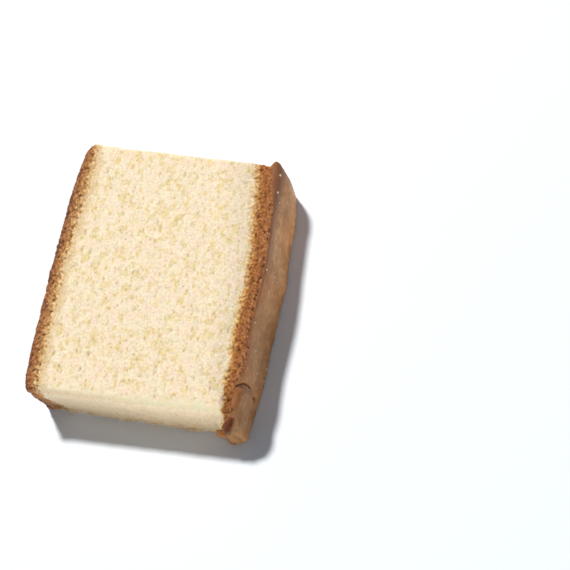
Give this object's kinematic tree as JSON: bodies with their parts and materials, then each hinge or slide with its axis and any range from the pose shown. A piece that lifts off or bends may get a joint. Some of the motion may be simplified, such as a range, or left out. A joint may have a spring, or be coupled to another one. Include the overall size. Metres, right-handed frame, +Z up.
{
  "type": "sponge cake slice",
  "caption": "Thick rectangular slice of plain sponge cake with cream crumb, a brown baked bottom crust and a smooth tan top skin, lying on a wide cut face.",
  "frame": {"origin": "middle of the underside, on the surface the slice lies on", "axes": "+X from the bottom crust towards the top skin, +Y along the cake from the near end cut to the far one, +Z up from the underside to the shown cut face"},
  "size_m": [0.0848, 0.1076, 0.0254],
  "materials": {
    "sponge": "matte cream crumb, browning to matte crust and satin skin"
  },
  "bodies": {
    "root": {"sponge_slice": "sponge"}
  },
  "joints": []
}
